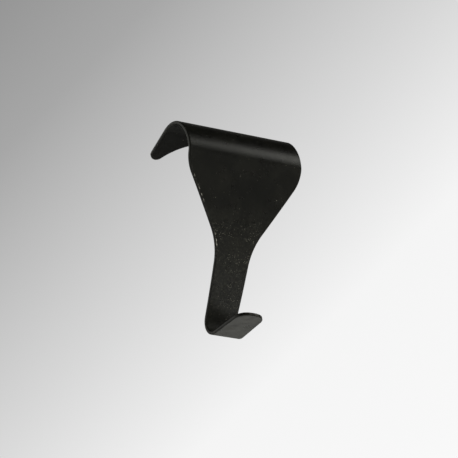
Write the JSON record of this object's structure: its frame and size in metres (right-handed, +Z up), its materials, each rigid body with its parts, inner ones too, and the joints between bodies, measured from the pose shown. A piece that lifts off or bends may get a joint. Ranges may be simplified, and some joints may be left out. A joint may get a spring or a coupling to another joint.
{
  "type": "picture-rail hook",
  "caption": "Black painted sheet-steel hook: a roofed crown and eared lip hang over a picture rail, a flared plate narrows to an upturned seat for a cord.",
  "frame": {"origin": "middle of the crown's underside, on the highest line of the inside of the bend, where the hook bears on the rail", "axes": "+X across the hook, to the right when facing its front; -Y out from the wall, the way the plate faces; +Z up"},
  "size_m": [0.04, 0.0402, 0.0627],
  "materials": {
    "black_paint": "satin black paint over sheared and bent sheet steel, lightly orange-peeled"
  },
  "bodies": {
    "root": {"hook_strip": "black_paint"}
  },
  "joints": []
}
